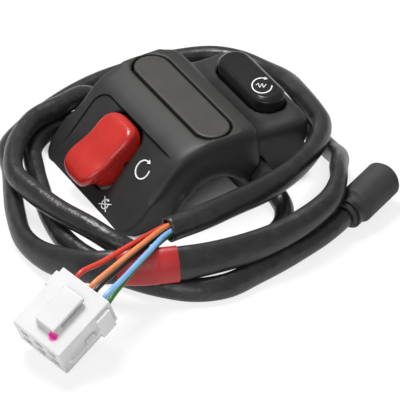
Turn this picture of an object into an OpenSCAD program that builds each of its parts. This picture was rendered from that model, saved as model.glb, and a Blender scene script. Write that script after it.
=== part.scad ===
// Handlebar switch cluster, front half, lying on its parting face with its loom coiled round it.
// Origin on the handlebar axis, X along the bar, Y towards the start button, Z up. Millimetres.

/* [Node] */
// Which node to draw

/* [Handlebar] */
// Outside diameter of the bar the saddle takes
bar_d = 22; // [19:0.2:26]
// Radial gap between the bar and the saddle
bar_gap = 0.1; // [0:0.05:0.2]
// Wall of the half tube over the bar
saddle_wall = 2.4; // [1.6:0.1:4]

/* [Housing] */
// Near end of the housing along the bar
near_x = 26; // [22:0.5:32]
// Far end of the housing along the bar
far_x = -22.4; // [-30:0.2:-18]
// Height of the flat top
top_z = 22.6; // [19:0.1:28]
// Height of the start pod
pod_z = 16.1; // [13:0.1:18]
// Reach of the start pod from the bar axis
pod_y = 36.7; // [34:0.1:42]
// Skin thickness of the housing
skin = 2.2; // [1.6:0.1:3]
// Slope of the kill panel, degrees
panel_slope = 48.6; // [40:0.1:55]

/* [Kill rocker] */
// Width of the rocker along the bar
rocker_w = 15.4; // [10:0.1:18]
// Length of the rocker up the panel
rocker_l = 20; // [14:0.1:22]
// Height of the raised end over the panel
rocker_h = 7.4; // [4:0.1:10]
// Gap round the rocker
rocker_gap = 0.45; // [0.3:0.05:0.8]

/* [Start button] */
// Length of the button
button_l = 27.4; // [18:0.1:30]
// Width of the button
button_w = 10; // [7:0.1:11]
// How far the button stands over the pod
button_h = 4.2; // [2:0.1:6]
// Travel of the button
button_travel = 2.4; // [1:0.1:3]
// Gap round the button
button_gap = 0.4; // [0.3:0.05:0.8]

/* [Blank insert] */
// Length of the insert
insert_l = 44.4; // [30:0.1:46]
// Width of the insert
insert_w = 11; // [7:0.1:13]
// Depth of the insert
insert_t = 3; // [2:0.1:4]
// Gap round the insert
insert_gap = 0.3; // [0.2:0.05:0.5]

/* [Loom] */
// Outside radius of the sleeves
sleeve_r = 2.9; // [2.4:0.1:4]
// Radius of the single wires
wire_r = 0.75; // [0.5:0.05:1]
// Wall of the sleeve where it is open
sleeve_wall = 0.6; // [0.4:0.05:1]
// Radius of the end boot
boot_r = 5.4; // [4.5:0.1:8]
// Length of the end boot
boot_l = 16; // [10:0.5:24]

/* [Plug] */
// Length of the plug
plug_l = 20; // [16:0.5:30]
// Width of the plug
plug_w = 17; // [12:0.5:22]
// Height of the plug
plug_h = 10.6; // [8:0.1:14]

/* [Hidden] */
$fn = 48;
bore_r = bar_d / 2 + bar_gap;
tube_r = bore_r + saddle_wall;
length_x = near_x - far_x;
// A thicker bar pushes the kill panel and all on it outwards
spread = bar_d / 2 - 11;
eps = 0.01;

// Small vector helpers
function unit(v) = v / norm(v);
function mix(a, b, t) = a + (b - a) * t;

// Housing section, from the foot of the pod over the top to the foot of the kill panel: y, z
section = [
    [pod_y - 3.7, 0], [pod_y - 3.7, 4], [pod_y - 3.5, pod_z - 8], [pod_y - 2.3, pod_z - 6.6], [pod_y - 0.7, pod_z - 5.5],
    [pod_y, pod_z - 3.7], [pod_y - 0.5, pod_z - 1.7], [pod_y - 2.1, pod_z - 0.4], [pod_y - 4.7, pod_z], [20.5, pod_z], [18.2, pod_z + 0.4],
    [17, pod_z + 1.5], [16.2, top_z - 2.2], [15.6, top_z - 0.8], [14.4, top_z - 0.2], [10, top_z],
    [2, top_z], [-1.5, top_z - 0.2], [-5.5, top_z - 0.9], [-8.6 - spread / 2, top_z - 2.1], [-11 - spread, top_z - 3.7],
    [-26.6 - spread, 1.3], [-27.8 - spread, 0]
];
panel_top = [-11 - spread, top_z - 3.7];
panel_foot = [-26.6 - spread, 1.3];
panel_in = let (t = unit(panel_foot - panel_top)) [-t[1], t[0]];
// The hollow inside the skin, open at the parting face
hollow = [
    [pod_y - 3.7 - skin, -1], [pod_y - 3.7 - skin, pod_z - 6.6], [pod_y - skin, pod_z - 4],
    [pod_y - 0.2 - skin, pod_z - skin - 0.8], [pod_y - 0.5 - skin, pod_z - skin], [16.4, pod_z - skin], [14.4, pod_z - skin + 1.4], [13.6, top_z - skin - 0.8],
    [12.4, top_z - skin], [1, top_z - skin], [-5.4, top_z - skin - 1.2], panel_top + skin * panel_in,
    panel_foot + skin * panel_in, panel_foot + skin * panel_in - [1, 1.6]
];

// A closed skin over rings of equal length, its ends closed to one point each
module skin_over(rings, p0, p1) {
    n = len(rings[0]);
    m = len(rings);
    pts = concat([for (r = rings) each r], [p0, p1]);
    polyhedron(pts, concat(
        [for (k = [0 : m - 2]) for (i = [0 : n - 1])
            each [[k * n + i, k * n + (i + 1) % n, (k + 1) * n + i],
                  [k * n + (i + 1) % n, (k + 1) * n + (i + 1) % n, (k + 1) * n + i]]],
        [for (i = [0 : n - 1]) [(i + 1) % n, i, m * n]],
        [for (i = [0 : n - 1]) [(m - 1) * n + i, (m - 1) * n + (i + 1) % n, m * n + 1]]
    ));
}

// The housing as three crossed outlines: section, plan and side view
pod_near = near_x - 5.4;
pod_far = far_x + 2;
module block2(x0, x1, y0, y1, r) {
    translate([(x0 + x1) / 2, (y0 + y1) / 2]) rounded(x1 - x0, y1 - y0, r);
}
module housing_plan(inset) {
    block2(far_x + inset, near_x - inset, -27.8 - spread + inset, 17.4 - inset, 5.2 - inset / 2);
    block2(pod_far + inset, pod_near - inset, -10, pod_y - inset, 5 - inset / 2);
}
module crossed(inset, outline) {
    intersection() {
        translate([far_x - 2, 0, 0]) rotate([90, 0, 90]) linear_extrude(length_x + 4) polygon(outline);
        translate([0, 0, -3]) linear_extrude(top_z + 6) housing_plan(inset);
        translate([0, 60, 0]) rotate([90, 0, 0]) linear_extrude(120)
            block2(far_x - 0.02 + inset, near_x + 0.02 - inset, -20, top_z + 0.02 - inset, 1.8);
    }
}

module stadium(l, w) {
    translate([-(l - w) / 2, -w / 2]) square([l - w, w]);
    for (s = [-1, 1]) translate([s * (l - w) / 2, 0]) circle(d = w);
}
module rounded(l, w, r) {
    translate([-l / 2 + r, -w / 2]) square([l - 2 * r, w]);
    translate([-l / 2, -w / 2 + r]) square([l, w - 2 * r]);
    for (sx = [-1, 1]) for (sy = [-1, 1]) translate([sx * (l / 2 - r), sy * (w / 2 - r)]) circle(r = r);
}
module along_x(x0, x1, y, z, r) {
    translate([x0, y, z]) rotate([0, 90, 0]) cylinder(r = r, h = x1 - x0);
}

// Places
kill_x = 0.5;
kill_y = -17.9 - spread;
kill_z = top_z - 11.5;
button_x = -0.3;
button_y = pod_y - 8.8;
insert_x = near_x - 2 - insert_l / 2;
insert_y = 4.1;
bush_near = [near_x - 7.5, -16 - spread];
bush_far = [-15.2, pod_y - 11.3];
exit_y = 16;
exit_z = 4.4;
pin_z = -1.4;
pin_r = 0.9;
lip = 1.3;
post_x = 10.6;
post_y = -4.5;
rail_x = 8.6;
rail_y = pod_y - 15.1;

module at_kill() {
    translate([kill_x, kill_y, kill_z]) rotate([panel_slope, 0, 0]) children();
}
module at_button(z = 0) {
    translate([button_x, button_y, z]) children();
}

module front_shell() {
    color([0.09, 0.09, 0.1]) difference() {
        union() {
            difference() {
                crossed(0, section);
                crossed(skin, hollow);
            }
            intersection() {
                union() {
                    along_x(far_x + 0.7, near_x - 0.7, 0, 0, tube_r);
                    // seat under the insert
                    translate([insert_x, insert_y, top_z - insert_t - 1.8])
                        linear_extrude(1.8 + insert_t - 0.7) rounded(insert_l + 1.5, insert_w + 3, 5);
                    // screw posts of the two carriers
                    for (s = [-1, 1]) at_kill() translate([s * post_x, post_y, -6]) cylinder(r = 1.9, h = 5);
                    for (s = [-1, 1]) translate([button_x + s * rail_x, rail_y, 4.2]) cylinder(r = 1.9, h = 11);
                    // posts of the clamp bushes
                    translate([bush_near[0], bush_near[1], 0.05]) cylinder(r = 3.6, h = 9.2);
                    translate([bush_far[0], bush_far[1], 0.05]) cylinder(r = 3.6, h = 9.4);
                    // wall round the cable exit
                    translate([near_x - 10, exit_y - 7.4, 0.05]) cube([6.6, 14.8, 12]);
                }
                translate([far_x + 0.5, -26.5 - spread, 0]) cube([length_x - 1, pod_y + 24.3 + spread, top_z]);
                translate([0, 0, -1]) linear_extrude(top_z + 6) housing_plan(0.5);
            }
            // lip of the saddle at the near end
            intersection() {
                along_x(near_x - 2, near_x + lip, 0, 0, tube_r);
                translate([near_x - 3, -20, 0]) cube([8, 40, 20]);
            }
        }
        along_x(far_x - 1, near_x + 1, 0, 0, bore_r);
        // lead-in of the saddle at the near end
        translate([near_x + lip - 0.9, 0, 0]) rotate([0, 90, 0]) cylinder(r1 = bore_r - 0.1, r2 = bore_r + 1, h = 1.1);
        // rocker opening
        at_kill() translate([0, 0, -4]) linear_extrude(12)
            rounded(rocker_w + 2 * rocker_gap, rocker_l + 2 * rocker_gap, 4.4);
        // pin ends
        at_kill() along_x(-10.4, 10.4, 0, pin_z, pin_r + 0.05);
        // button opening
        at_button(pod_z - skin - 3) linear_extrude(8) stadium(button_l + 2 * button_gap, button_w + 2 * button_gap);
        // insert pocket
        translate([insert_x, insert_y, top_z - insert_t - 0.05])
            linear_extrude(insert_t + 2) stadium(insert_l + 2 * insert_gap, insert_w + 2 * insert_gap);
        // cable exit
        along_x(near_x - 12, near_x + 2, exit_y, exit_z, 4.3);
        translate([near_x - 12, exit_y - 4.3, -1]) cube([14, 8.6, exit_z + 1]);
        // bush bores and screw bores
        translate([bush_near[0], bush_near[1], -1]) cylinder(r = 2.65, h = 10);
        translate([bush_far[0], bush_far[1], -1]) cylinder(r = 2.65, h = 10);
        for (s = [-1, 1]) at_kill() translate([s * post_x, post_y, -7]) cylinder(r = 0.95, h = 4.6);
        for (s = [-1, 1]) translate([button_x + s * rail_x, rail_y, 3]) cylinder(r = 0.95, h = 8);
    }
}

module blank_insert() {
    color([0.13, 0.12, 0.11]) translate([insert_x, insert_y, top_z - insert_t]) difference() {
        linear_extrude(insert_t + 0.1) stadium(insert_l, insert_w);
        translate([0, 0, -eps]) linear_extrude(insert_t - 1.4) stadium(insert_l - 3, insert_w - 3);
    }
}

// Side view of the rocker: y up the panel, z off the panel
rocker_side = [
    [-rocker_l / 2 + 0.1, -0.6], [-rocker_l / 2 + 0.7, 3.6], [-rocker_l / 2 + 1.5, rocker_h - 0.8],
    [-rocker_l / 2 + 2.4, rocker_h], [-rocker_l / 2 + 4, rocker_h - 0.3], [-rocker_l / 2 + 5.6, rocker_h - 1.5],
    [-2, rocker_h - 2.6], [3, rocker_h - 3.6], [rocker_l / 2 - 3, rocker_h - 4.2],
    [rocker_l / 2 - 1, rocker_h - 4.9], [rocker_l / 2, rocker_h - 6.2], [rocker_l / 2, -0.6],
    [2.6, -3.2], [-2.6, -3.2]
];
module kill_rocker() {
    color([0.75, 0.05, 0.06]) at_kill() difference() {
        intersection() {
            rotate([90, 0, 90]) translate([0, 0, -rocker_w / 2]) linear_extrude(rocker_w) polygon(rocker_side);
            translate([0, 0, -4]) linear_extrude(14) difference() {
                rounded(rocker_w, rocker_l + 0.8, 5);
                // waist
                for (s = [-1, 1]) translate([s * (rocker_w / 2 + 13.2), 1]) circle(r = 14, $fn = 96);
            }
        }
        along_x(-rocker_w, rocker_w, 0, pin_z, pin_r + 0.1);
        // hollow over the bridge
        translate([-3, -6, -4]) cube([6, 3.2, 4.4]);
    }
}
module kill_pin() {
    color([0.7, 0.7, 0.72]) at_kill() along_x(-10.3, 10.3, 0, pin_z, pin_r);
}
module kill_carrier() {
    color([0.2, 0.2, 0.2]) at_kill() difference() {
        union() {
            translate([-13, post_y - 3.2, -7.2]) cube([26, 6.4, 1.2]);
            translate([-6.6, post_y - 3.2, -7.2]) cube([13.2, 6.4, 2]);
        }
        for (s = [-1, 1]) translate([s * post_x, post_y, -8]) cylinder(r = 1.15, h = 4);
        for (s = [-1, 1]) translate([s * 3.4 - 1.2, post_y - 2.2, -5.9]) cube([2.4, 4.4, 2]);
    }
}
module kill_contacts() {
    color([0.85, 0.7, 0.35]) at_kill() for (s = [-1, 1])
        translate([s * 3.4 - 1.1, post_y - 2.1, -5.9]) cube([2.2, 4.2, 0.9]);
}
module kill_bridge() {
    color([0.85, 0.7, 0.35]) at_kill() translate([-2.8, -5.8, -2.8]) cube([5.6, 2.8, 3.2]);
}
module kill_screws() {
    color([0.6, 0.6, 0.62]) at_kill() for (s = [-1, 1]) translate([s * post_x, post_y, 0]) {
        translate([0, 0, -7.2]) cylinder(r = 0.9, h = 4.4);
        translate([0, 0, -8.4]) cylinder(r = 1.7, h = 1.2);
    }
}

button_under = pod_z - skin - 2.6 - button_travel;
module start_button() {
    color([0.05, 0.05, 0.05]) difference() {
        union() {
            at_button(pod_z - skin + 0.6) linear_extrude(skin + button_h - 1.6) stadium(button_l, button_w);
            at_button(pod_z + button_h - 1) linear_extrude(0.6) stadium(button_l - 1, button_w - 1);
            at_button(pod_z + button_h - 0.4) linear_extrude(0.4) stadium(button_l - 2.6, button_w - 2.6);
            // hooked legs at the two ends hold it in
            at_button(pod_z - skin - 1.5) linear_extrude(3) rounded(button_l - 0.2, 6, 2.5);
            at_button(pod_z - skin - 1.5) linear_extrude(1.2) rounded(button_l + 2.4, 6, 2.5);
            at_button(button_under - 1.4) cylinder(r = 1.7, h = 6);
        }
        at_button(pod_z - skin - 4) difference() {
            linear_extrude(skin + 4.4) stadium(button_l - 3, button_w - 3);
            translate([0, 0, -1]) cylinder(r = 2.6, h = 12);
        }
    }
}

// Wound spring: one unbroken tube
spring_r = 2.3;
spring_wire = 0.35;
spring_turns = 4;
spring_z0 = 4.3;
bridge_z = pod_z - skin - 3.5;
spring_z1 = bridge_z - 0.02;
function spring_point(t) =
    let (lift = spring_z1 - spring_z0 - 2 * spring_wire)
    [spring_r * cos(360 * spring_turns * t), spring_r * sin(360 * spring_turns * t),
     spring_z0 + spring_wire + lift * t];
spring_steps = 64;
spring_gap = (spring_z1 - spring_z0 - 2 * spring_wire) / spring_turns - 2 * spring_wire;
echo(spring_gap = spring_gap);

// Sweep of a round section along points; the sides stay level with the ground
function tangent(p, i) =
    unit(p[min(i + 1, len(p) - 1)] - p[max(i - 1, 0)]);
function ring_at(p, i, r, sides) =
    let (t = tangent(p, i), s = unit(cross([0, 0, 1], t)), u = cross(t, s))
    [for (k = [0 : sides - 1]) p[i] + r * (cos(360 * k / sides) * s + sin(360 * k / sides) * u)];
module sweep(p, r, sides) {
    skin_over([for (i = [0 : len(p) - 1]) ring_at(p, i, r, sides)], p[0], p[len(p) - 1]);
}
module hollow_sweep(p, r, r_in, sides) {
    n = sides;
    m = len(p);
    outer = [for (i = [0 : m - 1]) each ring_at(p, i, r, n)];
    inner = [for (i = [0 : m - 1]) each ring_at(p, i, r_in, n)];
    o = m * n;
    polyhedron(concat(outer, inner), concat(
        [for (k = [0 : m - 2]) for (i = [0 : n - 1]) let (a = k * n + i, b = k * n + (i + 1) % n)
            each [[a, b, a + n], [b, b + n, a + n], [o + b, o + a, o + a + n], [o + b, o + a + n, o + b + n]]],
        [for (i = [0 : n - 1]) let (a = i, b = (i + 1) % n) each [[b, a, o + a], [b, o + a, o + b]]],
        [for (i = [0 : n - 1]) let (a = (m - 1) * n + i, b = (m - 1) * n + (i + 1) % n)
            each [[a, b, o + a], [b, o + b, o + a]]]
    ));
}

module start_spring() {
    color([0.75, 0.75, 0.77]) at_button()
        sweep([for (k = [0 : spring_steps]) spring_point(k / spring_steps)], spring_wire, 6);
}
module start_carrier() {
    color([0.2, 0.2, 0.2]) difference() {
        translate([button_x, button_y - 2.6, 2.2]) linear_extrude(2) rounded(21.6, 10, 1.5);
        at_button(1) cylinder(r = spring_r - spring_wire - 0.3, h = 3.6);
        for (s = [-1, 1]) translate([button_x + s * rail_x, rail_y, 1]) cylinder(r = 1.15, h = 5);
        for (s = [-1, 1]) at_button(3.2) translate([s * 6.4 - 1.3, -2.4, 0]) cube([2.6, 4.6, 2]);
    }
}
module start_contacts() {
    color([0.85, 0.7, 0.35]) for (s = [-1, 1]) at_button(3.2)
        translate([s * 6.4 - 1.2, -2.3, 0]) cube([2.4, 4.4, bridge_z - button_travel - 3.4]);
}
module start_bridge() {
    color([0.85, 0.7, 0.35]) at_button(bridge_z) difference() {
        translate([-8, -1.8, 0]) cube([16, 3.6, 0.6]);
        translate([0, 0, -1]) cylinder(r = 1.72, h = 3);
    }
}
module start_screws() {
    color([0.6, 0.6, 0.62]) for (s = [-1, 1]) translate([button_x + s * rail_x, rail_y, 0]) {
        translate([0, 0, 2.2]) cylinder(r = 0.9, h = 7);
        translate([0, 0, 1]) cylinder(r = 1.7, h = 1.2);
    }
}
module bush(p) {
    color([0.8, 0.65, 0.3]) translate([p[0], p[1], 0.2]) difference() {
        cylinder(r = 2.6, h = 8.6);
        translate([0, 0, -1]) cylinder(r = 1.7, h = 9);
    }
}
module clamp_bush_near() { bush(bush_near); }
module clamp_bush_far() { bush(bush_far); }

grommet_end = near_x + 5;
module loom_grommet() {
    color([0.06, 0.06, 0.06]) {
        along_x(near_x - 9, grommet_end - 3, exit_y, exit_z, 4.2);
        along_x(near_x - 11.6, near_x - 9, exit_y, exit_z, 4.25);
        along_x(grommet_end - 3, grommet_end, exit_y, exit_z, 3.7);
    }
}

// Cord routes, chosen by hand
low = sleeve_r + 0.3;
trunk_route = [
    [grommet_end, exit_y, exit_z], [grommet_end + 3, exit_y, exit_z], [39.5, 15, 3.8], [45, 11, low], [48.6, 4, low],
    [49, -5, low], [47.6, -13.4, low], [45, -21.5, low], [41, -29.4, 5], [34.5, -35.4, 8], [27, -38.8, 9.4],
    [16, -42.4, 9.4], [5, -44.6, 9.4], [-5, -45, 9.4], [-13.5, -41, 9.5], [-20.5, -35, 9.3], [-25.4, -28, 9.2],
    [-27.4, -19, 9.2], [-31, -10, 7.4], [-32.4, -3, low + 0.2], [-32.4, -1, low], [-32.4, 3, low]
];
lead_points = [
    [-29.3, 24, low], [-29.3, 28, low], [-24.6, 35, low], [-16, 38.6, low], [-2, 40, low], [12, 40.6, low],
    [24, 40, 4.4], [32, 37.4, 8.2], [39.4, 32.6, 11.6], [46.5, 28, 12.6], [51.8, 22, 12.2], [55.8, 9, 10.8],
    [56.8, -5, 10], [56, -18, 10.4], [54.2, -27, 10.8], [50.8, -35.6, 10.8], [47.2, -41.4, 10.6], [42, -46.6, 9],
    [35, -50.4, 7], [25.5, -53, 4.6], [14.5, -53, low], [3.5, -49.6, low], [-5.4, -45.8, low], [-14.4, -41.4, low],
    [-24, -37.6, low], [-29.8, -29.8, low], [-34.2, -20, low], [-38, -9, low], [-40, 3, low], [-40, 14, low],
    [-38.6, 25, low], [-35, 34.6, low], [-29, 41, low], [-20.5, 44.4, 3.6], [-10, 45.6, 5.8], [1, 43.6, 8.4],
    [12.5, 41.6, 9.8], [18, 40.2, 10.2], [23.2, 36.6, 10.6], [30.2, 28.6, 11.6], [36.2, 19.2, 12.8], [40.6, 8.5, 13.9], [42.8, -3, 14.6]
];
// the turns behind the pod keep their distance from it
lead_route = [for (p = lead_points) p[1] > 30 ? p + [0, pod_y - 36.7, 0] : p];
end_route = [[42.8, -3, 14.6], [44.6, -13, 15.2], [45.4, -25, 15.6]];
branch_route = [
    [-26.2, 3, low], [-26.2, -4, low], [-26.1, -16, low], [-25.6, -24.5, low], [-20.5, -31.4, low], [-11, -35.6, low],
    [-2, -38.6, low], [9, -42, low], [20, -43.6, low], [31, -42.4, low], [42, -37.6, low], [51.4, -31, low],
    [57.8, -24.2, low], [60.6, -15.6, low], [59.4, -5, low], [57.4, 5.6, low], [55.5, 16.4, 3.9], [54.08, 23.03, 5.24],
    [52.6, 26.4, 5.5]
];
boot_dir = unit([-0.4, 0.91, 0.07]);
boot_at = branch_route[len(branch_route) - 1];

function part_of(p, a, b) = [for (i = [a : b]) p[i]];
function run(p, i = 0) = i >= len(p) - 1 ? 0 : norm(p[i + 1] - p[i]) + run(p, i + 1);
echo(trunk_mm = run(trunk_route), lead_mm = run(lead_route), end_mm = run(end_route), branch_mm = run(branch_route));

module loom_trunk() { color([0.1, 0.1, 0.1]) sweep(trunk_route, sleeve_r, 10); }
module loom_lead() { color([0.1, 0.1, 0.1]) sweep(lead_route, sleeve_r, 10); }
module loom_branch() { color([0.1, 0.1, 0.1]) sweep(branch_route, sleeve_r, 10); }
tape_from = 14;
tape_to = 16;
module tape_band() {
    color([0.65, 0.1, 0.1]) hollow_sweep(part_of(lead_route, tape_from, tape_to), sleeve_r + 0.5, sleeve_r + 0.2, 10);
}
module sleeve_end() {
    color([0.1, 0.1, 0.1]) hollow_sweep(end_route, sleeve_r, sleeve_r - sleeve_wall, 10);
}
// Moulded boot where the branch leaves the trunk
module branch_boot() {
    color([0.07, 0.07, 0.07]) hull() {
        translate([-29.3, 24, low]) rotate([90, 0, 0]) cylinder(r = sleeve_r + 0.3, h = 5, $fn = 24);
        for (x = [-32.4, -26.2]) translate([x, 7, low]) rotate([90, 0, 0]) cylinder(r = sleeve_r + 0.3, h = 4, $fn = 24);
    }
}

// Plug frame: x from the wires to the mating face; it rests on its nose, held up by the wires
plug_pos = [56.8, -53.9, 10.3];
plug_roll = -10.7;
plug_dip = 25.5;
plug_turn = -77;
module at_plug() { translate(plug_pos) rotate([plug_roll, plug_dip, plug_turn]) children(); }
function turn_x(p, a) = [p[0], p[1] * cos(a) - p[2] * sin(a), p[1] * sin(a) + p[2] * cos(a)];
function turn_y(p, a) = [p[0] * cos(a) + p[2] * sin(a), p[1], p[2] * cos(a) - p[0] * sin(a)];
function turn_z(p, a) = [p[0] * cos(a) - p[1] * sin(a), p[0] * sin(a) + p[1] * cos(a), p[2]];
function plug_world(p) = plug_pos + turn_z(turn_y(turn_x(p, plug_roll), plug_dip), plug_turn);
row_y = [-5, 0, 5];
row_z = [3, 7.4];
module plug_body() {
    color([0.93, 0.93, 0.92]) at_plug() difference() {
        union() {
            translate([0, -plug_w / 2, 0]) cube([plug_l, plug_w, plug_h]);
            // shoulders at the wire end
            translate([1.5, -plug_w / 2 - 1.4, 1]) cube([5, plug_w + 2.8, plug_h - 2]);
            // guide ribs
            for (s = [-1, 1]) translate([6.5, s * (plug_w / 2 + 0.3) - 0.6, 3]) cube([plug_l - 9, 1.2, 1.4]);
            // latch arm
            translate([4, -3.4, plug_h + 0.9]) cube([12, 6.8, 1.3]);
            translate([13, -3.4, plug_h - 0.2]) cube([3, 6.8, 1.8]);
        }
        for (y = row_y) for (z = row_z) {
            translate([-1, y, z]) rotate([0, 90, 0]) cylinder(r = 1.25, h = 8);
            translate([6.9, y - 1.4, z - 1.3]) cube([plug_l, 2.8, 2.6]);
        }
        // slot of the lock
        translate([8, -plug_w / 2 - 4, 4.7]) cube([3.2, plug_w + 8, 1]);
    }
}
module plug_lock() {
    color([0.9, 0.9, 0.88]) at_plug() translate([8.1, -plug_w / 2 - 0.9, 4.75]) cube([3, plug_w + 1.8, 0.9]);
}
wire_slots = [[0, 1], [1, 1], [1, 0], [2, 0], [2, 1]];
module plug_terminals() {
    color([0.8, 0.75, 0.6]) at_plug() for (w = wire_slots) translate([7.2, row_y[w[0]] - 0.9, row_z[w[1]] - 0.8])
        cube([11, 1.8, 1.6]);
}

// Wires from inside the open sleeve, over the taped lead and on to the plug
mouth_turn = [162, 90, 234, 306, 18];
wire_over = [
    [[47.3, -36.6, 16.9], [50.8, -48.2, 17.4]],
    [[50.1, -36.1, 17.8], [54.6, -47.2, 17.5]],
    [[49.1, -35.5, 15.6], [53.6, -46, 14.8]],
    [[51.9, -35, 15.4], [57.3, -45, 14.2]],
    [[52.9, -35.5, 17], [58.6, -46.1, 16.4]]
];
wire_in = [[-5, 7.6], [0, 7.6], [-0.4, 3.4], [4.6, 3.4], [5, 7.6]];
function wire_route(k) =
    let (a = mouth_turn[k], o = 1.45, s = wire_slots[k], p = end_route[2], q = end_route[1])
    concat([q + [o * cos(a), 0.6, o * sin(a)], p + [o * cos(a), 0, o * sin(a)]], wire_over[k],
           [plug_world([-2.4, wire_in[k][0], wire_in[k][1]]), plug_world([0.4, row_y[s[0]], row_z[s[1]]])]);
module wire(k, c) { color(c) sweep(wire_route(k), wire_r, 8); }
module wire_red() { wire(0, [0.8, 0.15, 0.1]); }
module wire_orange() { wire(1, [0.9, 0.4, 0.1]); }
module wire_brown() { wire(2, [0.2, 0.12, 0.08]); }
module wire_green() { wire(3, [0.1, 0.45, 0.2]); }
module wire_blue() { wire(4, [0.3, 0.55, 0.8]); }

module at_boot() {
    yaw = atan2(boot_dir[1], boot_dir[0]);
    rise = asin(boot_dir[2]);
    translate(boot_at) rotate([0, 90 - rise, yaw]) children();
}
module end_boot() {
    color([0.06, 0.06, 0.06]) at_boot() rotate_extrude() polygon([
        [0, 0], [sleeve_r + 0.9, 0], [sleeve_r + 1.1, 3.4], [boot_r - 0.9, 4.4], [boot_r, 5.3],
        [boot_r, boot_l + 3], [boot_r - 1.2, boot_l + 4.4], [0, boot_l + 4.6]
    ]);
}
module boot_clip() {
    color([0.5, 0.5, 0.52]) at_boot() translate([0, 0, 1.2]) difference() {
        cylinder(r = sleeve_r + 1.7, h = 1.4);
        translate([0, 0, -1]) cylinder(r = sleeve_r + 1.15, h = 4);
    }
}

front_shell();
blank_insert();
kill_rocker();
kill_pin();
kill_carrier();
kill_contacts();
kill_bridge();
kill_screws();
start_button();
start_spring();
start_carrier();
start_contacts();
start_bridge();
start_screws();
clamp_bush_near();
clamp_bush_far();
loom_grommet();
loom_trunk();
loom_lead();
loom_branch();
branch_boot();
tape_band();
sleeve_end();
wire_red();
wire_orange();
wire_brown();
wire_green();
wire_blue();
plug_body();
plug_lock();
plug_terminals();
end_boot();
boot_clip();
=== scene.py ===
import bmesh
import bpy
import numpy as np
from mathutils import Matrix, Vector


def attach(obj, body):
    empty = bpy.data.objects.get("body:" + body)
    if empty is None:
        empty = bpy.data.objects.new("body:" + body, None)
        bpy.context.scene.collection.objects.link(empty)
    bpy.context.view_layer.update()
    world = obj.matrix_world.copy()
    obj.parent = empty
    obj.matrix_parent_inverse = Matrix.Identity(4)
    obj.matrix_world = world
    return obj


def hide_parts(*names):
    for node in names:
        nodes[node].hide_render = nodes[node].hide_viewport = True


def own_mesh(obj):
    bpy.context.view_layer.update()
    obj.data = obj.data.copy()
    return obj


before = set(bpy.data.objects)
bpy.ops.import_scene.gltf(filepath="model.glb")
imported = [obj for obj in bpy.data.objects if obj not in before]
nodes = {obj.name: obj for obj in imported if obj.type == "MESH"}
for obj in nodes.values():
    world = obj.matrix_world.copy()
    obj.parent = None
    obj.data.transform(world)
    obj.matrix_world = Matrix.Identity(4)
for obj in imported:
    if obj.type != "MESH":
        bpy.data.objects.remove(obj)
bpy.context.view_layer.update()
scene = bpy.context.scene
mm = 0.001

# camera: the photograph's angle, a long lens from far off
shot = {"target": (29.35, -5.84, 8.0), "towards": (0.692, -0.3995, 0.602), "distance": 1100.0, "width": 109.9}


def makeCamera(s):
    data = bpy.data.cameras.new("shotCamera")
    data.sensor_width = 36
    data.lens = 36 * s["distance"] / s["width"]
    data.clip_start, data.clip_end = 0.05, 20
    camera = bpy.data.objects.new("shotCamera", data)
    scene.collection.objects.link(camera)
    towards = Vector(s["towards"]).normalized()
    camera.location = (Vector(s["target"]) + towards * s["distance"]) * mm
    camera.rotation_euler = (-towards).to_track_quat("-Z", "Y").to_euler()
    scene.camera = camera


makeCamera(shot)


# shader maths: a socket that takes part in Python arithmetic
class Wire:
    def __init__(self, paint, socket):
        self.paint, self.socket = paint, socket

    def calc(self, operation, first, second):
        return self.paint.add("ShaderNodeMath", {"operation": operation}, {0: first, 1: second})

    def __add__(self, other): return self.calc("ADD", self, other)
    def __radd__(self, other): return self.calc("ADD", other, self)
    def __sub__(self, other): return self.calc("SUBTRACT", self, other)
    def __rsub__(self, other): return self.calc("SUBTRACT", other, self)
    def __mul__(self, other): return self.calc("MULTIPLY", self, other)
    def __rmul__(self, other): return self.calc("MULTIPLY", other, self)
    def atLeast(self, other): return self.calc("MAXIMUM", self, other)
    def atMost(self, other): return self.calc("MINIMUM", self, other)
    def power(self, other): return self.calc("POWER", self, other)
    def size(self): return self.calc("ABSOLUTE", self, 0.0)


class Paint:
    def __init__(self, name):
        self.material = bpy.data.materials.new(name)
        self.material.use_nodes = True
        self.tree = self.material.node_tree
        self.shader = self.tree.nodes["Principled BSDF"]
        self.place = self.add("ShaderNodeTexCoord", out="Object")
        self.uv = self.add("ShaderNodeTexCoord", out="UV")

    def put(self, socket, value):
        if isinstance(value, Wire):
            self.tree.links.new(value.socket, socket)
        else:
            socket.default_value = value

    def add(self, kind, settings=None, inputs=None, out=0):
        node = self.tree.nodes.new(kind)
        for key, value in (settings or {}).items():
            setattr(node, key, value)
        for key, value in (inputs or {}).items():
            self.put(node.inputs[key], value)
        return Wire(self, node.outputs[out])

    def surface(self, **values):
        for key, value in values.items():
            self.put(self.shader.inputs[key.replace("_", " ")], value)
        return self.material

    def noise(self, scale, detail=2.0, at=None):  # scale in blobs per metre
        return self.add("ShaderNodeTexNoise", {}, {"Vector": at or self.place, "Scale": scale, "Detail": detail})

    def axes(self, at=None):
        node = self.tree.nodes.new("ShaderNodeSeparateXYZ")
        self.put(node.inputs[0], at or self.place)
        return [Wire(self, socket) for socket in node.outputs]

    def blend(self, factor, first, second):
        first, second = ((*colour, 1) if isinstance(colour, tuple) else colour for colour in (first, second))
        return self.add("ShaderNodeMix", {"data_type": "RGBA"}, {0: factor, 6: first, 7: second}, out=2)

    def step(self, value, low, high):  # 0 below low, 1 above high
        return self.add("ShaderNodeMapRange", {"clamp": True}, {0: value, 1: low, 2: high, 3: 0.0, 4: 1.0})

    def bump(self, height, strength, depth):
        return self.add("ShaderNodeBump", {}, {"Height": height, "Strength": strength, "Distance": depth})


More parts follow.
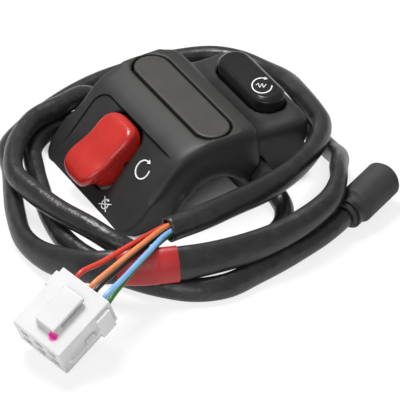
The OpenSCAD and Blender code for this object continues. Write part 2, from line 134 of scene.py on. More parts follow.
# the kill panel, in millimetres: middle of the rocker, slope, where its rim runs to the left and at the top, the rim's corner,
# how far the panel lies below its rim, how wide that step is, how far off the plane it still counts,
# and where it runs out on the right
killSlope = np.radians(48.6)
killPanel = {"at": (0.5, -17.9, 11.1), "c": np.cos(killSlope), "s": np.sin(killSlope), "left": -17.3, "top": 10.6,
             "corner": 5, "drop": 0.3, "step": 0.7, "reach": 1.8, "right": 20, "fade": 5}


# finishes: colour pair, roughness, grain per metre and its depth
finishes = {
    "housing": {"dark": (0.012, 0.0125, 0.0125), "light": (0.019, 0.0195, 0.0195),
                "rough": 0.52, "grain": 3200, "depth": 0.00005},
    "insert": {"dark": (0.026, 0.025, 0.0235), "light": (0.036, 0.034, 0.032),
               "rough": 0.5, "grain": 4200, "depth": 0.00003},
    "carrier": {"dark": (0.012, 0.012, 0.012), "light": (0.02, 0.02, 0.02),
                "rough": 0.55, "grain": 2600, "depth": 0.00004},
    "rubber": {"dark": (0.016, 0.016, 0.0165), "light": (0.032, 0.032, 0.033),
               "rough": 0.68, "grain": 1500, "depth": 0.00012},
    "rockerRed": {"dark": (0.37, 0.013, 0.009), "light": (0.45, 0.019, 0.013),
                  "rough": 0.27, "grain": 900, "depth": 0.00001},
    "buttonBlack": {"dark": (0.009, 0.009, 0.0095), "light": (0.014, 0.014, 0.0145),
                    "rough": 0.24, "grain": 900, "depth": 0.00001},
    "nylon": {"dark": (0.52, 0.525, 0.52), "light": (0.58, 0.582, 0.578),
              "rough": 0.42, "grain": 700, "depth": 0.00003},
    "tapeRed": {"dark": (0.30, 0.010, 0.012), "light": (0.42, 0.016, 0.018),
                "rough": 0.36, "grain": 420, "depth": 0.00012},
    "signWhite": {"dark": (0.72, 0.73, 0.74), "light": (0.82, 0.83, 0.84),
                  "rough": 0.5, "grain": 5000, "depth": 0.00001},
    "wireRed": {"dark": (0.50, 0.030, 0.015), "light": (0.62, 0.05, 0.025),
                "rough": 0.36, "grain": 600, "depth": 0.00002},
    "wireOrange": {"dark": (0.62, 0.17, 0.05), "light": (0.74, 0.24, 0.09),
                   "rough": 0.36, "grain": 600, "depth": 0.00002},
    "wireBrown": {"dark": (0.018, 0.012, 0.009), "light": (0.03, 0.02, 0.015),
                  "rough": 0.36, "grain": 600, "depth": 0.00002},
    "wireGreen": {"dark": (0.03, 0.13, 0.03), "light": (0.05, 0.2, 0.05),
                  "rough": 0.36, "grain": 600, "depth": 0.00002},
    "wireBlue": {"dark": (0.16, 0.36, 0.62), "light": (0.22, 0.45, 0.74),
                 "rough": 0.36, "grain": 600, "depth": 0.00002},
}


def mouldedFinish(name, f):  # fine grain bump, slow change of tone, roughness that follows the grain
    p = Paint(name)
    grain = p.noise(f["grain"], 3)
    tone = p.noise(90, 4)
    return p, {"Base_Color": p.blend(p.step(tone, 0.35, 0.65), f["dark"], f["light"]),
               "Roughness": f["rough"] - 0.06 + 0.12 * grain,
               "Normal": p.bump(grain, 0.5, f["depth"])}


paints = {}
for finishName, f in finishes.items():
    p, values = mouldedFinish(finishName, f)
    if finishName == "housing":  # the plateau round the insert is a little browner, a tint of its own, and paler, which is painted light on the top face
        x, y, z = p.axes()
        # painted light: the top face above this height is made paler, with a browner tint
        plateau = p.step(z, 0.0212, 0.0222)
        values["Base_Color"] = p.blend(plateau * 0.6, values["Base_Color"], (0.024, 0.023, 0.0205))
        # painted shade in the groove round the kill panel: distance to its rounded rim, in the panel's own plane
        corner, (atX, atY, atZ) = killPanel["corner"] * mm, (v * mm for v in killPanel["at"])
        up = (y - atY) * killPanel["c"] + (z - atZ) * killPanel["s"]
        off = (z - atZ) * killPanel["c"] - (y - atY) * killPanel["s"]
        left = killPanel["left"] * mm + corner + atX - x
        over = up - (killPanel["top"] * mm - corner)
        outside = (left.atLeast(0.0).power(2.0) + over.atLeast(0.0).power(2.0)).power(0.5)
        rim = outside + left.atLeast(over).atMost(0.0) - corner
        line = p.step(rim.size(), 0.00045, 0.00016) * p.step(off.size(), 0.0030, 0.0022)
        line = line * p.step(x, 0.0225, 0.0190) * p.step(z, 0.004, 0.008)
        # painted shade: the groove's line is darkened and its reflection turned down with it
        values["Base_Color"] = p.blend(line * 0.85, values["Base_Color"], (0.003, 0.003, 0.003))
        values["Specular_IOR_Level"] = 0.42 - 0.4 * line
    if finishName == "nylon":  # an ink dot on top of the plug
        spot = p.add("ShaderNodeVectorMath", {"operation": "DISTANCE"}, {0: p.place, 1: (0.0661, -0.0715, 0.0120)}, out=1)
        smear = spot + 0.0016 * p.noise(700, 2)
        values["Base_Color"] = p.blend(p.step(smear, 0.0024, 0.0019), values["Base_Color"], (0.75, 0.02, 0.33))
    if finishName == "buttonBlack":
        values["Specular_IOR_Level"] = 0.28
    paints[finishName] = p.surface(**values)


def sleeving(f):  # soft vinyl tube: long faint creases, dull sheen, dust
    p = Paint("sleeveVinyl")
    around, along, unused = p.axes(p.uv)
    stretched = p.add("ShaderNodeCombineXYZ", {}, {0: around * 9, 1: along * 60, 2: 0.0})
    crease = p.noise(1.0, 3, stretched)
    dust = p.noise(260, 4)
    return p.surface(Base_Color=p.blend(p.step(dust, 0.45, 0.75), f["dark"], f["light"]),
                     Roughness=f["rough"] + 0.14 * dust,
                     Normal=p.bump(crease + 0.12 * p.noise(2500, 2), 0.55, f["depth"]))


paints["sleeve"] = sleeving({"dark": (0.013, 0.013, 0.0135), "light": (0.024, 0.024, 0.025), "rough": 0.27, "depth": 0.0005})


def metal(name, f):
    p = Paint(name)
    brushed = p.noise(1.0, 2, p.add("ShaderNodeVectorMath", {"operation": "MULTIPLY"}, {0: p.place, 1: (300, 6000, 6000)}))
    return p.surface(Base_Color=p.blend(brushed, f["dark"], f["light"]), Metallic=1.0, Roughness=f["rough"] + 0.15 * brushed)


paints["brass"] = metal("brass", {"dark": (0.62, 0.44, 0.18), "light": (0.78, 0.6, 0.3), "rough": 0.25})
paints["steel"] = metal("steel", {"dark": (0.42, 0.42, 0.43), "light": (0.6, 0.6, 0.61), "rough": 0.28})
paints["darkSteel"] = metal("darkSteel", {"dark": (0.04, 0.04, 0.042), "light": (0.08, 0.08, 0.082), "rough": 0.4})
print("finishes:", len(paints))

# inner works and small fittings keep their solids
plainNodes = {"kill_pin": "darkSteel", "kill_carrier": "carrier", "kill_contacts": "brass", "kill_bridge": "brass",
              "kill_screws": "steel", "start_spring": "steel", "start_carrier": "carrier", "start_contacts": "brass",
              "start_bridge": "brass", "start_screws": "steel", "clamp_bush_near": "brass", "clamp_bush_far": "brass",
              "plug_terminals": "brass", "boot_clip": "darkSteel"}
for nodeName, finish in plainNodes.items():
    data = nodes[nodeName].data
    data.materials.clear()
    data.materials.append(paints[finish])


def readPoints(mesh, what="co"):
    flat = np.empty(len(mesh.vertices) * 3)
    mesh.vertices.foreach_get(what, flat)
    return flat.reshape(-1, 3)


def writePoints(mesh, co):
    mesh.vertices.foreach_set("co", co.ravel())
    mesh.update()


# a grid of points becomes a closed mesh: rows along, columns around
def gridMesh(name, grid, around=True, loop=False, caps=True):
    rows, cols = grid.shape[:2]
    i, j = np.meshgrid(np.arange(rows if loop else rows - 1), np.arange(cols if around else cols - 1), indexing="ij")
    i, j = i.ravel(), j.ravel()
    i1, j1 = (i + 1) % rows, (j + 1) % cols
    faces = np.stack([i * cols + j, i * cols + j1, i1 * cols + j1, i1 * cols + j], 1).tolist()
    u0, u1, v0, v1 = j / cols, (j + 1) / cols, i / rows, (i + 1) / rows
    uv = np.stack([u0, v0, u1, v0, u1, v1, u0, v1], 1).reshape(-1, 2)
    points = grid.reshape(-1, 3)
    if caps and not loop:
        ends = np.array([grid[0].mean(0), grid[-1].mean(0)])
        points = np.vstack([points, ends])
        k = np.arange(cols)
        k1 = (k + 1) % cols
        first = np.stack([k1, k, np.full(cols, rows * cols)], 1)
        last = np.stack([(rows - 1) * cols + k, (rows - 1) * cols + k1, np.full(cols, rows * cols + 1)], 1)
        faces += first.tolist() + last.tolist()
        uv = np.vstack([uv, np.zeros((6 * cols, 2))])
    mesh = bpy.data.meshes.new(name)
    mesh.from_pydata((points * mm).tolist(), [], faces)
    mesh.uv_layers.new(name="UVMap").data.foreach_set("uv", uv.ravel())
    mesh.validate()
    return outward(mesh)


def outward(mesh):  # the volume under the faces tells which way they point
    mesh.calc_loop_triangles()
    co = readPoints(mesh)
    tri = np.empty(len(mesh.loop_triangles) * 3, int)
    mesh.loop_triangles.foreach_get("vertices", tri)
    a, b, c = co[tri.reshape(-1, 3)].transpose(1, 0, 2)
    if np.einsum("ij,ij->i", a, np.cross(b, c)).sum() < 0:
        mesh.flip_normals()
    mesh.polygons.foreach_set("use_smooth", np.ones(len(mesh.polygons), bool))
    mesh.update()
    return mesh


def piece(mesh, finish, body="housing", standsFor=(), sharp=None):
    thing = bpy.data.objects.new(mesh.name, mesh)
    scene.collection.objects.link(thing)
    mesh.materials.clear()
    mesh.materials.append(paints[finish])
    if sharp:
        mesh.set_sharp_from_angle(angle=np.radians(sharp))
    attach(thing, body)
    if standsFor:
        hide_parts(*standsFor)
    return thing


# a route through given points: centripetal spline, then even steps
def smoothRoute(points, step=1.0):
    p = np.array(points, float)
    p = np.vstack([2 * p[0] - p[1], p, 2 * p[-1] - p[-2]])
    t = np.linspace(0, 1, 24, endpoint=False)[:, None]
    out = []
    for p0, p1, p2, p3 in zip(p[:-3], p[1:-2], p[2:-1], p[3:]):
        k1, k2, k3 = (max(np.linalg.norm(d) ** 0.5, 1e-6) for d in (p1 - p0, p2 - p1, p3 - p2))
        m1 = (p2 - p1) + k2 * ((p1 - p0) / k1 - (p2 - p0) / (k1 + k2))
        m2 = (p2 - p1) + k2 * ((p3 - p2) / k3 - (p3 - p1) / (k2 + k3))
        leave = (2 * t**3 - 3 * t**2 + 1) * p1 + (t**3 - 2 * t**2 + t) * m1
        arrive = (3 * t**2 - 2 * t**3) * p2 + (t**3 - t**2) * m2
        out.append(leave + arrive)
    fine = np.vstack(out + [p[-2:-1]])
    run = np.r_[0, np.cumsum(np.linalg.norm(np.diff(fine, axis=0), axis=1))]
    s = np.linspace(0, run[-1], max(8, int(run[-1] / step)))
    return np.stack([np.interp(s, run, fine[:, k]) for k in range(3)], 1), s


def frames(path, lean):  # the wide way of the section leans towards a chosen direction
    tangent = np.gradient(path, axis=0)
    tangent /= np.linalg.norm(tangent, axis=1, keepdims=True)
    lean = np.broadcast_to(lean, path.shape)
    wide = lean - tangent * (lean * tangent).sum(1, keepdims=True)
    wide /= np.linalg.norm(wide, axis=1, keepdims=True)
    return wide, np.cross(tangent, wide)


def sweptGrid(path, lean, half, thick, sides=24):  # an ellipse carried along the path
    wide, thin = frames(path, lean)
    a = np.linspace(0, 2 * np.pi, sides, endpoint=False)
    half, thick = (np.broadcast_to(v, len(path))[:, None, None] for v in (half, thick))
    c, s = (v[None, :, None] for v in (np.cos(a), np.sin(a)))
    return path[:, None] + half * c * wide[:, None] + thick * s * thin[:, None]


def length(path):
    return float(np.linalg.norm(np.diff(path, axis=0), axis=1).sum() * mm)


# the loom: routes as in the part's source, in millimetres; flat gives half width and half thickness at some of the points
low = 3.2
loom = {
    "trunk": [(31, 16, 4.4), (34, 16, 4.4), (39.5, 15, 3.8), (45, 11, low), (48.6, 4, low), (49, -5, low),
              (47.6, -13.4, low), (45, -21.5, low), (41, -29.4, 5), (34.5, -35.4, 8), (27, -38.8, 9.4),
              (16, -42.4, 9.4), (5, -44.6, 9.4), (-5, -45, 9.4), (-13.5, -41, 9.5), (-20.5, -35, 9.3),
              (-25.4, -28, 9.2), (-27.4, -19, 9.2), (-31, -10, 7.4), (-32.4, -3, 3.4), (-32.4, -1, low),
              (-32.4, 3, low)],
    "trunkFlat": [(0, 2.9, 2.9), (4, 3.1, 2.7), (10, 3.2, 2.7), (17, 3.0, 2.8), (21, 2.9, 2.9)],
    "lead": [(-29.3, 24, low), (-29.3, 28, low), (-24.6, 35, low), (-16, 38.6, low), (-2, 40, low), (12, 40.6, low),
             (24, 40, 4.4), (32, 37.4, 8.2), (39.4, 32.6, 11.6), (46.5, 28, 12.6), (51.8, 22, 12.2),
             (55.8, 9, 10.8), (56.8, -5, 10), (56, -18, 10.4), (54.2, -27, 10.8), (50.8, -35.6, 10.8),
             (47.2, -41.4, 10.6), (42, -46.6, 9), (35, -50.4, 7), (25.5, -53, 4.6), (14.5, -53, low),
             (3.5, -49.6, low), (-5.4, -45.8, low), (-14.4, -41.4, low), (-24, -37.6, low), (-29.8, -29.8, low),
             (-34.2, -20, low), (-38, -9, low), (-40, 3, low), (-40, 14, low), (-38.6, 25, low), (-35, 34.6, low),
             (-29, 41, low), (-20.5, 44.4, 3.6), (-10, 45.6, 5.8), (1, 43.6, 8.4), (12.5, 41.6, 9.8),
             (18, 40.2, 10.2), (23.2, 36.6, 10.6), (30.2, 28.6, 11.6), (36.2, 19.2, 12.8), (40.6, 8.5, 13.9),
             (42.8, -3, 14.6), (44.6, -13, 15.2), (45.4, -25, 15.6)],
    "leadFlat": [(0, 2.9, 2.9), (5, 2.9, 2.8), (9, 3.2, 2.6), (10, 3.3, 3.1), (11, 3.8, 3.1), (12, 4.2, 2.6),
                 (15, 4.9, 2.3), (18, 4.3, 2.5), (21, 2.9, 2.8), (34, 2.9, 2.8), (38, 3.2, 2.7), (42, 3.6, 2.8),
                 (44, 3.5, 2.95)],
    "branch": [(-26.2, 3, low), (-26.2, -4, low), (-26.1, -16, low), (-25.6, -24.5, low), (-20.5, -31.4, low),
               (-11, -35.6, low), (-2, -38.6, low), (9, -42, low), (20, -43.6, low), (31, -42.4, low),
               (42, -37.6, low), (51.4, -31, low), (57.8, -24.2, low), (60.6, -15.6, low), (59.4, -5, low),
               (57.4, 5.6, low), (55.5, 16.4, 3.9), (54.08, 23.03, 5.24), (52.6, 26.4, 5.5)],
    "branchFlat": [(0, 2.9, 2.9), (5, 3.0, 2.7), (9, 3.3, 2.6), (15, 3.4, 2.5), (18, 2.9, 2.9)],
    "lean": (-0.45, 0.26, 0.86), "wall": 0.55, "tape": (14, 16)}
unevenness = 0.02  # share of a sleeve's width
boreRows = 21  # how far the open end's bore is drawn
leadSeed = 2.0
wireRadius = 0.75
wireRing = 1.45  # the wires leave the open end on a ring of this radius
plug = {"at": (56.8, -53.9, 10.3), "roll": -10.7, "dip": 25.5, "turn": -77.0, "rowY": (-5, 0, 5), "rowZ": (3, 7.4)}
wires = {
    "red": {"finish": "wireRed", "turn": 162, "over": [(47.3, -36.6, 16.9), (50.8, -48.2, 17.4)],
              "near": (-5, 7.6), "cavity": (0, 1)},
    "orange": {"finish": "wireOrange", "turn": 90, "over": [(50.1, -36.1, 17.8), (54.6, -47.2, 17.5)],
              "near": (0, 7.6), "cavity": (1, 1)},
    "brown": {"finish": "wireBrown", "turn": 234, "over": [(49.1, -35.5, 15.6), (53.6, -46, 14.8)],
              "near": (-0.4, 3.4), "cavity": (1, 0)},
    "green": {"finish": "wireGreen", "turn": 306, "over": [(51.9, -35, 15.4), (57.3, -45, 14.2)],
              "near": (4.6, 3.4), "cavity": (2, 0)},
    "blue": {"finish": "wireBlue", "turn": 18, "over": [(52.9, -35.5, 17), (58.6, -46.1, 16.4)],
              "near": (5, 7.6), "cavity": (2, 1)},
}


def turn(points, axis, degrees):
    c, s = np.cos(np.radians(degrees)), np.sin(np.radians(degrees))
    out = np.array(points, float)
    a, b = (axis + 1) % 3, (axis + 2) % 3
    out[..., a], out[..., b] = c * out[..., a] - s * out[..., b], s * out[..., a] + c * out[..., b]
    return out


def plugPoint(x, y, z):  # roll, dip, then turn, as the plug lies
    return np.array(plug["at"]) + turn(turn(turn(np.array([x, y, z]), 0, plug["roll"]), 1, plug["dip"]), 2, plug["turn"])


def waver(s, amount, seed):  # slow uneven swelling along a sleeve
    return 1 + amount * (np.sin(s / 7.3 + seed) + 0.6 * np.sin(s / 3.1 + 2.3 * seed) + 0.4 * np.sin(s / 17 + 0.7 * seed))


def runAt(path, s, route, picks):  # how far along the path some of the route's points are
    return [s[np.argmin(np.linalg.norm(path - np.array(route[k]), axis=1))] for k in picks]


def section(path, s, route, flat, seed, run):  # half width and half thickness along a sleeve
    at = runAt(path, s, route, [k for k, h, t in flat])
    half = np.interp(run, at, [h for k, h, t in flat]) * waver(run, unevenness, seed)
    thick = np.interp(run, at, [t for k, h, t in flat]) * waver(run, -unevenness, seed)
    return half, thick


def makeSleeve(name, route, flat, standsFor, seed, openEnd=False):
    path, s = smoothRoute(route)
    half, thick = section(path, s, route, flat, seed, s)
    grid = sweptGrid(path, loom["lean"], half, thick)
    if openEnd:
        inner = sweptGrid(path, loom["lean"], half - loom["wall"], thick - loom["wall"])
        grid = np.concatenate([grid, inner[-1:-1 - boreRows:-1]])
    grid[..., 2] = np.maximum(grid[..., 2], 0.02)  # lies on the floor, not in it
    thing = piece(gridMesh(name, grid), "sleeve", standsFor=standsFor)
    2 * float(np.median(half)) * mm
    print(name, "length", round(length(path) * 1000, 1), "mm")
    return thing


def makeWire(name, w):
    a = np.radians(w["turn"])
    off = wireRing * np.array([np.cos(a), 0, np.sin(a)])
    start, mouth = np.array(loom["lead"][-2]), np.array(loom["lead"][-1])
    row, level = w["cavity"]
    route = [start + off + (0, 0.6, 0), mouth + off, *w["over"], plugPoint(-2.4, *w["near"]),
             plugPoint(0.4, plug["rowY"][row], plug["rowZ"][level])]
    path, s = smoothRoute(route, 0.6)
    grid = sweptGrid(path, (0.9, 0, 0.43), wireRadius, wireRadius, 14)
    thing = piece(gridMesh("wire_" + name + "_lead", grid), w["finish"], standsFor=["wire_" + name])
    print("wire", name, "length", round(length(path) * 1000, 1), "mm")


def makeTape():  # two turns of tape: the second edge shows as a low step
    path, s = smoothRoute(loom["lead"])
    fine = np.linspace(*runAt(path, s, loom["lead"], loom["tape"]), 60)
    part = np.stack([np.interp(fine, s, path[:, k]) for k in range(3)], 1)
    secondTurn = fine[0] + 0.32 * (fine[-1] - fine[0])
    lift = 0.3 + 0.1 * np.clip((fine - secondTurn) / 0.3, 0, 1)
    half, thick = section(path, s, loom["lead"], loom["leadFlat"], leadSeed, fine)
    outer = sweptGrid(part, loom["lean"], half + lift, thick + lift, 40)
    inner = sweptGrid(part, loom["lean"], half + 0.08, thick + 0.08, 40)
    mesh = gridMesh("tapeBand", np.concatenate([outer, inner[::-1]]), loop=True)
    return piece(mesh, "tapeRed", standsFor=["tape_band"], sharp=40)


# moulded pieces: a closed copy of the solid on an even mesh, its corners worn round by passing each point
# towards its neighbours and back again
moulded = {
    "housingSkin": {"node": "front_shell", "finish": "housing", "slot": "housing",
                    "body": "housing", "mesh": 0.46, "rounds": 40},
    "insertBlank": {"node": "blank_insert", "finish": "insert", "slot": "insert",
                    "body": "housing", "mesh": 0.3, "rounds": 5},
    "buttonCap": {"node": "start_button", "finish": "buttonBlack", "slot": "button_black",
                  "body": "button", "mesh": 0.26, "rounds": 45},
    "grommetRubber": {"node": "loom_grommet", "finish": "rubber", "slot": "rubber_black",
                      "body": "housing", "mesh": 0.26, "rounds": 8},
    "branchMould": {"node": "branch_boot", "finish": "rubber", "slot": "rubber_black",
                    "body": "housing", "mesh": 0.35, "rounds": 10},
    "endBoot": {"node": "end_boot", "finish": "rubber", "slot": "rubber_black",
                "body": "housing", "mesh": 0.26, "rounds": 10},
    "plugShell": {"node": "plug_body", "finish": "nylon", "slot": "nylon_white",
                  "body": "housing", "mesh": 0.24, "rounds": 12},
    "plugKey": {"node": "plug_lock", "finish": "nylon", "slot": "nylon_white",
                "body": "housing", "mesh": 0.2, "rounds": 3},
}


def evenCopy(nodeName, step):
    data = nodes[nodeName].data.copy()
    work = bmesh.new()
    work.from_mesh(data)
    bmesh.ops.remove_doubles(work, verts=work.verts, dist=2e-6)
    work.to_mesh(data)
    work.free()
    holder = bpy.data.objects.new("holder", data)
    scene.collection.objects.link(holder)
    even = holder.modifiers.new("even", "REMESH")
    even.mode, even.voxel_size = "VOXEL", step * mm
    mesh = bpy.data.meshes.new_from_object(holder.evaluated_get(bpy.context.evaluated_depsgraph_get()))
    bpy.data.objects.remove(holder)
    return mesh


def neighbours(mesh):  # gives a function that finds the mean of each point's neighbours
    pairs = np.empty(len(mesh.edges) * 2, int)
    mesh.edges.foreach_get("vertices", pairs)
    a, b = pairs.reshape(-1, 2).T
    ends, others, many = np.r_[a, b], np.r_[b, a], len(mesh.vertices)
    count = np.bincount(ends, minlength=many)[:, None]
    return lambda co: np.stack([np.bincount(ends, co[others, i], many) for i in range(3)], 1) / count


def roundOff(mesh, rounds):  # each round: in by 0.5 of the way to the neighbours' mean, out by 0.52
    co, mean = readPoints(mesh), neighbours(mesh)
    for k in range(rounds):
        for share in (0.5, -0.52):
            co = co + share * (mean(co) - co)
    co[:, 2] = np.maximum(co[:, 2], 0)  # the even mesh reaches a little under the floor
    writePoints(mesh, co)


def drawIn(mesh, gap):  # smaller all round in plan, so that the groove round it shows
    co = readPoints(mesh)
    lowest, highest = co.min(0), co.max(0)
    middle, half = (lowest + highest) / 2, (highest - lowest) / 2
    co[:, :2] -= (co - middle)[:, :2] / half[:2] * gap * mm
    writePoints(mesh, co)


def nodeBox(nodeName):
    thing = nodes[nodeName]
    corners = np.array([thing.matrix_world @ Vector(c) for c in thing.bound_box]) / mm
    return corners.min(0), corners.max(0)


# where the shell's edges are softened: from this height, outside of this middle point, and not close to these nodes
softening = {"from": 9, "full": 13, "middle": (2, 5, 4), "rounds": 110,
             "keepOff": {"blank_insert": (0.9, 3.0), "start_button": (1.2, 3.5), "kill_rocker": (1.2, 4)}}


def softenEdges(mesh, f):  # the shell's outer edges up top are rounder
    co, normal, mean = readPoints(mesh) / mm, readPoints(mesh, "normal"), neighbours(mesh)
    outer = np.einsum("ij,ij->i", normal, co - np.array(f["middle"])) > 0.5
    mask = np.clip((co[:, 2] - f["from"]) / (f["full"] - f["from"]), 0, 1) * outer
    for nodeName, (near, far) in f["keepOff"].items():
        lowest, highest = nodeBox(nodeName)
        gap = np.linalg.norm(np.maximum(np.maximum(lowest - co, co - highest), 0)[:, :2], axis=1)
        mask *= np.clip((gap - near) / (far - near), 0, 1)
    for k in range(f["rounds"]):
        co = co + 0.5 * mask[:, None] * (mean(co) - co)
    writePoints(mesh, co * mm)


def sinkPanel(mesh, panel):  # the panel lies a little below its rim: a smooth step across the rim's line
    co, c, s, corner = readPoints(mesh), panel["c"], panel["s"], panel["corner"]
    x, y, z = co.T / mm - np.array(panel["at"])[:, None]
    up, off = y * c + z * s, z * c - y * s
    left, over = panel["left"] + corner - x, up - panel["top"] + corner
    rim = np.hypot(np.maximum(left, 0), np.maximum(over, 0)) + np.minimum(np.maximum(left, over), 0) - corner
    drop = panel["drop"] * np.clip(-rim / panel["step"], 0, 1) * (np.abs(off) < panel["reach"])
    drop = drop * np.clip((panel["right"] - x) / panel["fade"], 0, 1)
    co += drop[:, None] * np.array([0, s, -c]) * mm
    co[:, 2] = np.maximum(co[:, 2], 0)
    writePoints(mesh, co)


grooveGap = 0.36
for pieceName, m in moulded.items():
    mesh = evenCopy(m["node"], m["mesh"])
    mesh.name = pieceName
    roundOff(mesh, m["rounds"])
    if pieceName == "insertBlank":
        drawIn(mesh, grooveGap)
    if pieceName == "housingSkin":
        softenEdges(mesh, softening)
        sinkPanel(mesh, killPanel)
    mesh.polygons.foreach_set("use_smooth", np.ones(len(mesh.polygons), bool))
    piece(mesh, m["finish"], body=m["body"], standsFor=[m["node"]])
    print(pieceName, len(mesh.polygons), "faces")

# the loom goes on once its plug and boots are there
tapeBand = makeTape()
makeSleeve("trunkSleeve", loom["trunk"], loom["trunkFlat"], ["loom_trunk"], 0.4)
makeSleeve("branchSleeve", loom["branch"], loom["branchFlat"], ["loom_branch"], 1.3)
makeSleeve("leadSleeve", loom["lead"], loom["leadFlat"], ["loom_lead", "sleeve_end"], leadSeed,
           openEnd=True)
for wireName, w in wires.items():
    makeWire(wireName, w)

# the rocker: a rounded outline with a waist, carried up to a height that follows its side view, over a rolled edge;
# its lower end stands out over the panel from standsFrom up, clear of it when tipped
rocker = {"half": (7.6, 9.95), "power": 3.6, "waist": 0.55, "waistAt": 0.6, "waistLength": 3.6, "edge": 1.6, "crown": 0.3,
          "over": 2.4, "standsFrom": 2.5, "standsFull": 5.1, "root": -3.1, "rootRise": 2.5, "count": 120,
          "along": (-10, -9, -8, -6.6, -5, -3, 0, 3, 6, 8, 9.2, 10),
          "height": (6.5, 7.1, 7.35, 7.2, 6.5, 5.5, 4.75, 4.2, 3.75, 3.4, 2.9, 2.3)}


def rockerOutline(r):
    a = np.linspace(0, 2 * np.pi, r["count"], endpoint=False)
    x, y = (h * np.sign(v) * np.abs(v) ** (2 / r["power"]) for h, v in zip(r["half"], (np.cos(a), np.sin(a))))
    waist = r["waist"] / r["half"][0] * np.exp(-((y - r["waistAt"]) / r["waistLength"]) ** 2)
    flat = np.stack([x * (1 - waist), y], 1)
    closed = np.vstack([flat, flat[:1]])
    run = np.r_[0, np.cumsum(np.linalg.norm(np.diff(closed, axis=0), axis=1))]
    even = np.linspace(0, run[-1], r["count"], endpoint=False)
    return np.stack([np.interp(even, run, closed[:, k]) for k in range(2)], 1)


def rockerHeight(y):  # the side view, without kinks
    near = {-1.2: 0.1, -0.6: 0.25, 0: 0.3, 0.6: 0.25, 1.2: 0.1}
    return sum(np.interp(y + d, rocker["along"], rocker["height"]) * share for d, share in near.items())


def makeRocker(r):
    flat, e = rockerOutline(r), r["edge"]
    side = np.roll(flat, -1, 0) - np.roll(flat, 1, 0)
    inward = np.stack([-side[:, 1], side[:, 0]], 1) / np.linalg.norm(side, axis=1, keepdims=True)
    under = r["root"] + r["rootRise"] * (flat[:, 1] / 10) ** 2
    foot = under + 0.8
    rows = [(flat * 0.05, np.full(r["count"], r["root"])), (flat * 0.93, under), (flat * 0.985, under + 0.35)]
    rows += [(flat, foot + (rockerHeight(flat[:, 1]) - e - foot) * k) for k in np.linspace(0, 1, 26)]
    for bend in np.radians(np.linspace(12, 90, 9)):
        inner = flat + inward * e * (1 - np.cos(bend))
        rows.append((inner, rockerHeight(inner[:, 1]) - e * (1 - np.sin(bend))))
    inner = flat + inward * e
    rows += [(inner * k, rockerHeight(inner[:, 1] * k) + r["crown"] * (1 - k * k)) for k in np.linspace(0.92, 0.02, 14)]
    grid = np.array([np.column_stack(row) for row in rows])
    stands = np.clip((grid[..., 2] - r["standsFrom"]) / (r["standsFull"] - r["standsFrom"]), 0, 1)
    grid[..., 1] -= r["over"] * stands * np.clip((-grid[..., 1] - 2) / 8, 0, 1) ** 1.5
    axes = np.array([[1.0, 0, 0], [0, killPanel["c"], killPanel["s"]], [0, -killPanel["s"], killPanel["c"]]])
    mesh = gridMesh("rockerCap", np.array(killPanel["at"]) + grid @ axes)
    piece(mesh, "rockerRed", body="rocker", standsFor=["kill_rocker"])


makeRocker(rocker)
print("rocker made")


spring = {"wire": 0.35, "turns": 4, "travel": 2.4}


def makeSpring(g):  # a coil of the spring's size, its foot on the carrier
    lowest, highest = nodeBox("start_spring")
    middle, tall = (lowest + highest) / 2, highest[2] - lowest[2]
    t = np.linspace(0, 1, 220)
    a, r = 2 * np.pi * g["turns"] * t, (highest[0] - lowest[0]) / 2 - g["wire"]
    rise = lowest[2] + g["wire"] + (tall - 2 * g["wire"]) * t
    path = np.stack([middle[0] + r * np.cos(a), middle[1] + r * np.sin(a), rise], 1)
    mesh = gridMesh("startSpring", sweptGrid(path, (0, 0, 1), g["wire"], g["wire"], 12))
    thing = piece(mesh, "steel", standsFor=["start_spring"])
    middle[0] * mm
    middle[1] * mm
    lowest[2] * mm
    float(1 - g["travel"] / tall)
    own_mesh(thing)


makeSpring(spring)
print("spring made")

# white signs: strokes in the plane of what carries them, a flat band along a drawn line with its own width at each point
panelUp = (0, 0.6613, 0.7501)
signs = {
    "runSign": {"at": (15.4, -16.02, 13.22), "up": panelUp, "radius": 2.7, "stroke": 0.38, "from": 88, "to": 385,
                "body": "housing"},
    "offSign": {"at": (11.2, -25.75, 2.25), "up": panelUp, "radius": 1.35, "stroke": 0.22, "from": 88, "to": 385,
                "body": "housing", "cross": True},
    "startSign": {"at": (6.0, 27.7, 20.3), "up": (0, 1, 0), "radius": 2.8, "stroke": 0.32, "from": 133, "to": 420,
                  "body": "button", "bolt": True, "drawn": 1.3},
}
slant = np.array([-0.866, 0.5])  # the way that looks upright on the button, from the rider's side
zigzag = np.array([(-1.7, 0.1), (-1.0, 0.9), (-0.7, -0.8), (0.1, 0.8), (0.4, -0.8), (1.2, 0.5)])
bandLevels = np.array([0.05, 0.05, -0.25, -0.25])


def stroke(points, widths):  # two edges of the band, on top and below
    p, w = np.array(points, float), np.array(widths, float)[:, None]
    t = np.gradient(p, axis=0)
    t /= np.linalg.norm(t, axis=1, keepdims=True)
    side = np.stack([-t[:, 1], t[:, 0]], 1) * w / 2
    flat = np.stack([p + side, p - side, p - side, p + side], 1)
    return np.concatenate([flat, np.broadcast_to(bandLevels[None, :, None], (len(p), 4, 1))], 2)


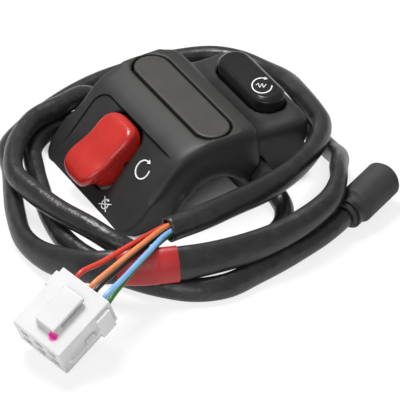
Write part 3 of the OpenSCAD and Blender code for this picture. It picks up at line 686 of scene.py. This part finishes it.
def makeSign(name, g):
    up = np.array(g["up"], float)
    right = np.array([1.0, 0, 0])
    out = np.cross(right, up)
    a = np.radians(np.linspace(g["from"], g["to"], 40))
    r, w = g["radius"], g["stroke"]
    ring = np.stack([r * np.cos(a), r * np.sin(a)], 1)
    tipAt, tipAlong = ring[0], np.array([np.sin(a[0]), -np.cos(a[0])])
    tip = [tipAt - 0.1 * tipAlong, tipAt + 2.6 * w * tipAlong]
    strokes = [stroke(ring, np.full(len(ring), w)), stroke(tip, [3.4 * w, 0.05])]
    if g.get("cross"):
        for acrossBy, upBy in ((1.6, 0.9), (1.4, -1.1)):
            strokes.append(stroke([(-acrossBy * r, -upBy * r), (acrossBy * r, upBy * r)], [w, w]))
    if g.get("bolt"):
        level = zigzag @ np.array([[slant[1], -slant[0]], slant])  # lies level as the rider sees it
        strokes += [stroke([a, b], [w * 0.55, w * 0.55]) for a, b in zip(level[:-1], level[1:])]
    for k, grid in enumerate(strokes):
        grid[..., :2] += (grid[..., :2] @ slant * (g.get("drawn", 1) - 1))[..., None] * slant
        placed = np.array(g["at"]) + grid[..., :1] * right + grid[..., 1:2] * up + grid[..., 2:] * out
        piece(gridMesh(name + str(k), placed), "signWhite", body=g["body"], sharp=30)


for signName, g in signs.items():
    makeSign(signName, g)
print("signs:", len(signs))

# floor and light
# shade: middle and half size in plan of the floor under the housing, with its soft edge, in metres
studio = {"floor": 0.9, "world": 0.4, "key": 7.2, "fill": 2.4, "glow": 0.8, "drop": -0.00012, "reach": 3,
          "shade": {"x": (0.0018, 0.0275, 0.0235), "y": (0.0028, 0.0305, 0.027)}}


def makeFloor(s):
    mesh = bpy.data.meshes.new("floor")
    corners = [(x * s["reach"], y * s["reach"], s["drop"]) for x, y in ((-1, -1), (1, -1), (1, 1), (-1, 1))]
    mesh.from_pydata(corners, [], [(0, 1, 2, 3)])
    floor = bpy.data.objects.new("floor", mesh)
    scene.collection.objects.link(floor)
    p = Paint("paleFloor")
    p.surface(Base_Color=(s["floor"],) * 3 + (1,), Roughness=0.9)
    rays = p.tree.nodes.new("ShaderNodeLightPath").outputs
    seen = Wire(p, rays["Is Camera Ray"]).atLeast(Wire(p, rays["Is Glossy Ray"]))
    glow = p.add("ShaderNodeEmission", {}, {"Color": (1, 1, 1, 1), "Strength": 1.0})
    x, y, z = p.axes()
    across, along = (p.step((v - s["shade"][k][0]).size(), *s["shade"][k][1:]) for k, v in (("x", x), ("y", y)))
    under = across * along
    mixed = p.add("ShaderNodeMixShader", {}, {0: seen * (1 - under) * s["glow"], 1: Wire(p, p.shader.outputs[0]), 2: glow})
    p.tree.links.new(mixed.socket, p.tree.nodes["Material Output"].inputs["Surface"])
    mesh.materials.append(p.material)


def areaLight(name, at, aim, size, power):
    data = bpy.data.lights.new(name, "AREA")
    data.shape, data.size, data.energy = "DISK", size, power
    lamp = bpy.data.objects.new(name, data)
    scene.collection.objects.link(lamp)
    lamp.location = at
    lamp.rotation_euler = (Vector(aim) - Vector(at)).to_track_quat("-Z", "Y").to_euler()


makeFloor(studio)
world = bpy.data.worlds.new("paleRoom")
scene.world = world
world.use_nodes = True
world.node_tree.nodes["Background"].inputs["Color"].default_value = (1, 1, 1, 1)
world.node_tree.nodes["Background"].inputs["Strength"].default_value = studio["world"]
areaLight("keyLamp", (-0.25, -0.05, 0.75), (0.02, 0, 0), 0.34, studio["key"])
areaLight("fillLamp", (0.55, -0.55, 0.45), (0.02, 0, 0), 0.6, studio["fill"])
scene.view_settings.view_transform = "Standard"
